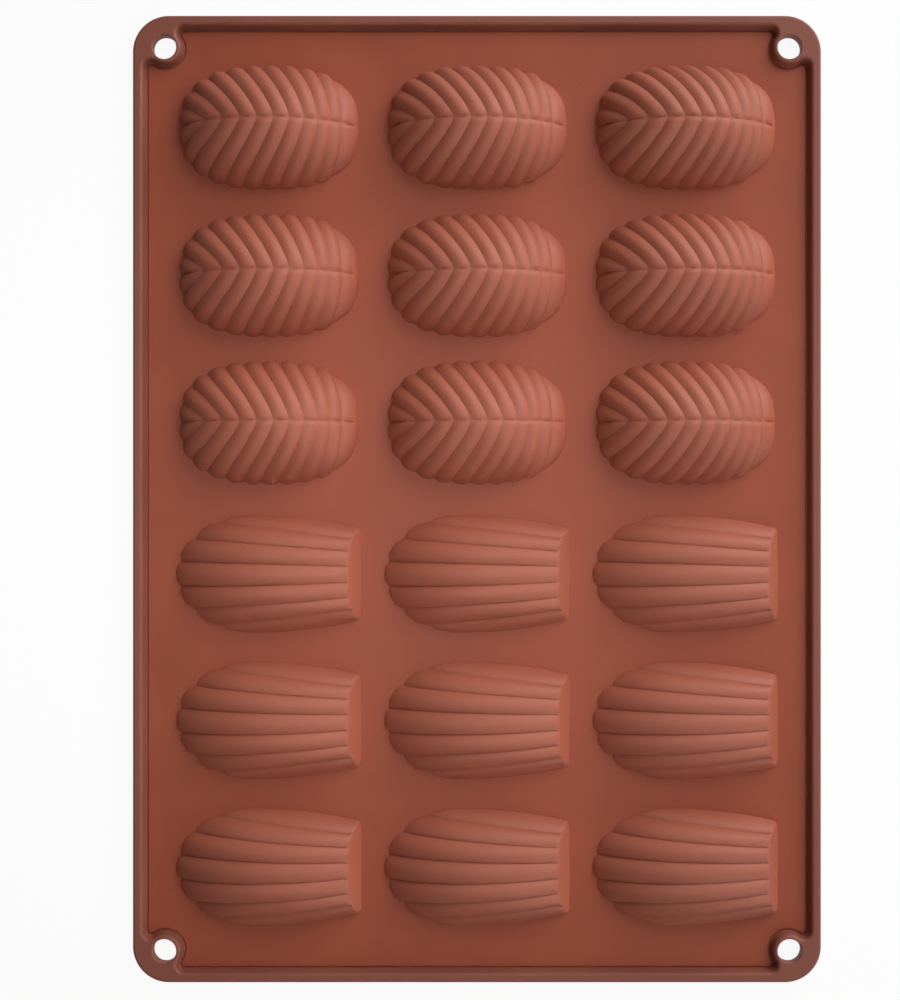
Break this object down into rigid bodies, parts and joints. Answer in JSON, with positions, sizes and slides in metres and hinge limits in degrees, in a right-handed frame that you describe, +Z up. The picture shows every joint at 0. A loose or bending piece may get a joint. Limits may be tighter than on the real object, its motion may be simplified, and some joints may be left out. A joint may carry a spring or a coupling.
{
  "type": "silicone cake mould",
  "caption": "Flexible silicone baking tray with rows of ribbed leaf and shell cups in a flat web, a raised rim and a hanging eyelet in each corner.",
  "frame": {"origin": "middle of the open face, on the surface that the mould lies on with its cup backs up", "axes": "+Z up out of the cup backs, +Y along the length towards the leaf cups, +X towards the flat ends of the shell cups"},
  "size_m": [0.21, 0.295, 0.017],
  "materials": {
    "silicone": "satin moulded silicone"
  },
  "bodies": {
    "leaf_half": {"leaf_web": "silicone", "leaf_end_rail": "silicone", "leaf_left_rail": "silicone", "leaf_right_rail": "silicone", "leaf_left_eyelet": "silicone", "leaf_right_eyelet": "silicone"},
    "shell_half": {"shell_web": "silicone", "shell_end_rail": "silicone", "shell_left_rail": "silicone", "shell_right_rail": "silicone", "shell_left_eyelet": "silicone", "shell_right_eyelet": "silicone"},
    "leaf_r1c1": {"leaf_cup_r1c1": "silicone"},
    "leaf_r1c2": {"leaf_cup_r1c2": "silicone"},
    "leaf_r1c3": {"leaf_cup_r1c3": "silicone"},
    "leaf_r2c1": {"leaf_cup_r2c1": "silicone"},
    "leaf_r2c2": {"leaf_cup_r2c2": "silicone"},
    "leaf_r2c3": {"leaf_cup_r2c3": "silicone"},
    "leaf_r3c1": {"leaf_cup_r3c1": "silicone"},
    "leaf_r3c2": {"leaf_cup_r3c2": "silicone"},
    "leaf_r3c3": {"leaf_cup_r3c3": "silicone"},
    "shell_r4c1": {"shell_cup_r4c1": "silicone"},
    "shell_r4c2": {"shell_cup_r4c2": "silicone"},
    "shell_r4c3": {"shell_cup_r4c3": "silicone"},
    "shell_r5c1": {"shell_cup_r5c1": "silicone"},
    "shell_r5c2": {"shell_cup_r5c2": "silicone"},
    "shell_r5c3": {"shell_cup_r5c3": "silicone"},
    "shell_r6c1": {"shell_cup_r6c1": "silicone"},
    "shell_r6c2": {"shell_cup_r6c2": "silicone"},
    "shell_r6c3": {"shell_cup_r6c3": "silicone"}
  },
  "joints": [
    {"name": "fold", "type": "hinge", "parent": "leaf_half", "child": "shell_half", "pos_m": [0, -0.00025, 0.004], "axis": [-1, 0, 0], "range_deg": [0, 90], "stiffness_Nm_per_rad": 0.08},
    {"name": "press_r1c1", "type": "slide", "parent": "leaf_half", "child": "leaf_r1c1", "axis": [0, 0, -1], "range_m": [0, 0.008], "stiffness_N_per_m": 600},
    {"name": "press_r1c2", "type": "slide", "parent": "leaf_half", "child": "leaf_r1c2", "axis": [0, 0, -1], "range_m": [0, 0.008], "stiffness_N_per_m": 600},
    {"name": "press_r1c3", "type": "slide", "parent": "leaf_half", "child": "leaf_r1c3", "axis": [0, 0, -1], "range_m": [0, 0.008], "stiffness_N_per_m": 600},
    {"name": "press_r2c1", "type": "slide", "parent": "leaf_half", "child": "leaf_r2c1", "axis": [0, 0, -1], "range_m": [0, 0.008], "stiffness_N_per_m": 600},
    {"name": "press_r2c2", "type": "slide", "parent": "leaf_half", "child": "leaf_r2c2", "axis": [0, 0, -1], "range_m": [0, 0.008], "stiffness_N_per_m": 600},
    {"name": "press_r2c3", "type": "slide", "parent": "leaf_half", "child": "leaf_r2c3", "axis": [0, 0, -1], "range_m": [0, 0.008], "stiffness_N_per_m": 600},
    {"name": "press_r3c1", "type": "slide", "parent": "leaf_half", "child": "leaf_r3c1", "axis": [0, 0, -1], "range_m": [0, 0.008], "stiffness_N_per_m": 600},
    {"name": "press_r3c2", "type": "slide", "parent": "leaf_half", "child": "leaf_r3c2", "axis": [0, 0, -1], "range_m": [0, 0.008], "stiffness_N_per_m": 600},
    {"name": "press_r3c3", "type": "slide", "parent": "leaf_half", "child": "leaf_r3c3", "axis": [0, 0, -1], "range_m": [0, 0.008], "stiffness_N_per_m": 600},
    {"name": "press_r4c1", "type": "slide", "parent": "shell_half", "child": "shell_r4c1", "axis": [0, 0, -1], "range_m": [0, 0.008], "stiffness_N_per_m": 600},
    {"name": "press_r4c2", "type": "slide", "parent": "shell_half", "child": "shell_r4c2", "axis": [0, 0, -1], "range_m": [0, 0.008], "stiffness_N_per_m": 600},
    {"name": "press_r4c3", "type": "slide", "parent": "shell_half", "child": "shell_r4c3", "axis": [0, 0, -1], "range_m": [0, 0.008], "stiffness_N_per_m": 600},
    {"name": "press_r5c1", "type": "slide", "parent": "shell_half", "child": "shell_r5c1", "axis": [0, 0, -1], "range_m": [0, 0.008], "stiffness_N_per_m": 600},
    {"name": "press_r5c2", "type": "slide", "parent": "shell_half", "child": "shell_r5c2", "axis": [0, 0, -1], "range_m": [0, 0.008], "stiffness_N_per_m": 600},
    {"name": "press_r5c3", "type": "slide", "parent": "shell_half", "child": "shell_r5c3", "axis": [0, 0, -1], "range_m": [0, 0.008], "stiffness_N_per_m": 600},
    {"name": "press_r6c1", "type": "slide", "parent": "shell_half", "child": "shell_r6c1", "axis": [0, 0, -1], "range_m": [0, 0.008], "stiffness_N_per_m": 600},
    {"name": "press_r6c2", "type": "slide", "parent": "shell_half", "child": "shell_r6c2", "axis": [0, 0, -1], "range_m": [0, 0.008], "stiffness_N_per_m": 600},
    {"name": "press_r6c3", "type": "slide", "parent": "shell_half", "child": "shell_r6c3", "axis": [0, 0, -1], "range_m": [0, 0.008], "stiffness_N_per_m": 600}
  ]
}
